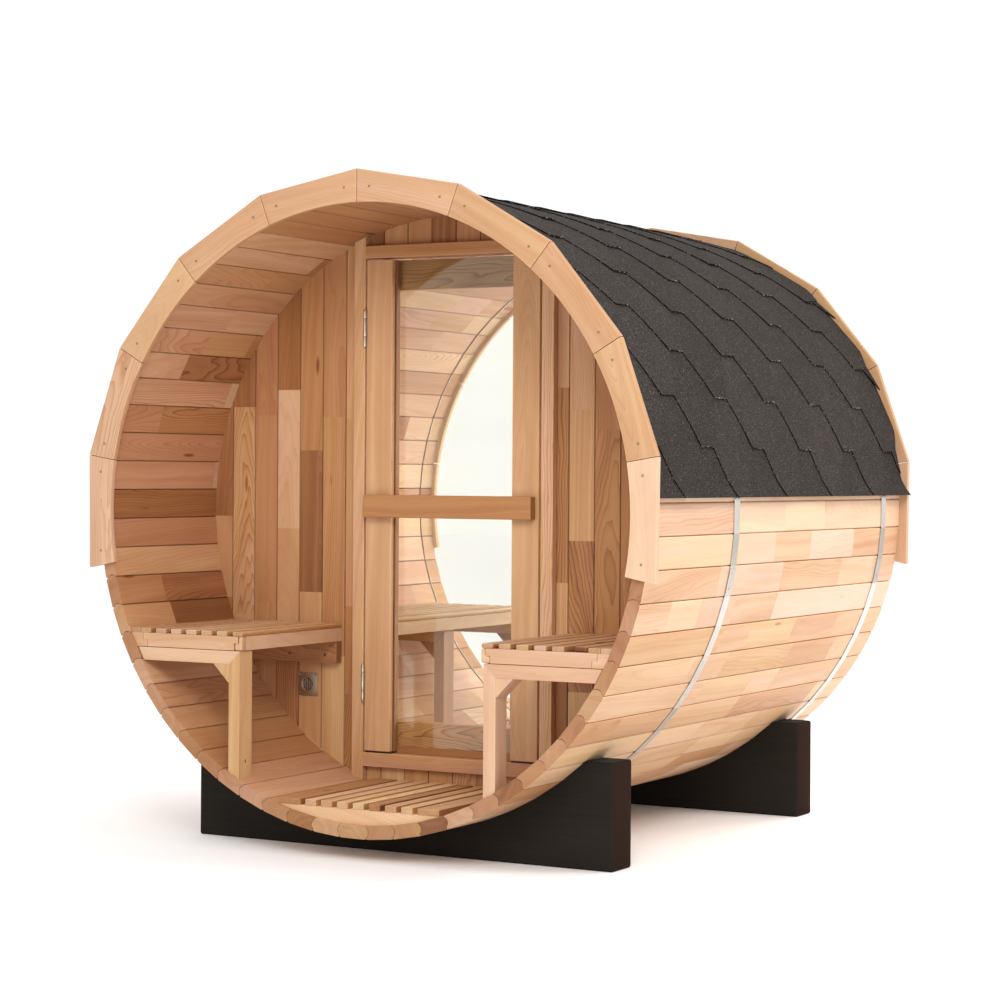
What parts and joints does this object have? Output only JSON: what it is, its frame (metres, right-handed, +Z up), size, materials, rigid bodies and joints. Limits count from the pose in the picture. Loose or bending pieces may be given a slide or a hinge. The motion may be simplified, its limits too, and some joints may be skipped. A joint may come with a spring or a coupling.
{
  "type": "barrel sauna",
  "caption": "Lying cedar barrel sauna on two cradles, with an open porch and benches, a boarded front wall with a hinged glazed door, a round glass back wall and a shingled roof.",
  "frame": {"origin": "on the ground under the middle of the barrel", "axes": "+Z up, +Y along the barrel from the porch to the glass back wall, +X to the right seen from the porch"},
  "size_m": [1.882, 1.836, 1.9354],
  "materials": {
    "stave_cedar": "planed, unfinished",
    "fascia_cedar": "planed, unfinished",
    "wall_cedar": "planed, unfinished",
    "door_cedar": "planed, unfinished",
    "handle_cedar": "oiled",
    "bench_cedar": "sanded, unfinished",
    "floor_cedar": "sanded, unfinished",
    "cradle_black": "matt black stain",
    "shingle_felt": "mineral granules",
    "stainless": "brushed",
    "door_glazing": "clear",
    "rear_glazing": "clear",
    "seal_rubber": "matt"
  },
  "bodies": {
    "sauna": {"front_cradle": "cradle_black", "rear_cradle": "cradle_black", "floor_staves": "stave_cedar", "right_staves": "stave_cedar", "roof_staves": "stave_cedar", "left_staves": "stave_cedar", "front_hoop": "stainless", "rear_hoop": "stainless", "front_fascia": "fascia_cedar", "rear_fascia": "fascia_cedar", "roof_shingles": "shingle_felt", "front_wall_left": "wall_cedar", "front_wall_right": "wall_cedar", "front_wall_over_door": "wall_cedar", "front_wall_under_door": "wall_cedar", "door_jambs": "door_cedar", "door_header": "door_cedar", "door_sill": "door_cedar", "hinge_jamb_leaves": "stainless", "wall_vent": "stainless", "porch_bench_slats": "bench_cedar", "porch_bench_rails": "bench_cedar", "porch_bench_aprons": "bench_cedar", "porch_bench_ledgers": "bench_cedar", "porch_bench_legs": "bench_cedar", "porch_bench_leg_rails": "bench_cedar", "porch_bench_gussets": "bench_cedar", "inner_bench_slats": "bench_cedar", "inner_bench_rails": "bench_cedar", "inner_bench_apron": "bench_cedar", "inner_bench_ledger": "bench_cedar", "inner_bench_legs": "bench_cedar", "inner_bench_leg_rails": "bench_cedar", "inner_bench_gussets": "bench_cedar", "porch_floor_slats": "floor_cedar", "porch_floor_bearers": "floor_cedar", "inner_floor_slats": "floor_cedar", "inner_floor_bearers": "floor_cedar", "rear_glass": "rear_glazing", "rear_glass_seal": "seal_rubber"},
    "door": {"door_stiles": "door_cedar", "door_rails": "door_cedar", "door_glass": "door_glazing", "door_handle": "handle_cedar", "hinge_door_leaves": "stainless"}
  },
  "joints": [
    {"name": "door_swing", "type": "hinge", "parent": "sauna", "child": "door", "pos_m": [-0.3035, -0.41, 0.989], "axis": [0, 0, -1], "range_deg": [0, 95]}
  ]
}
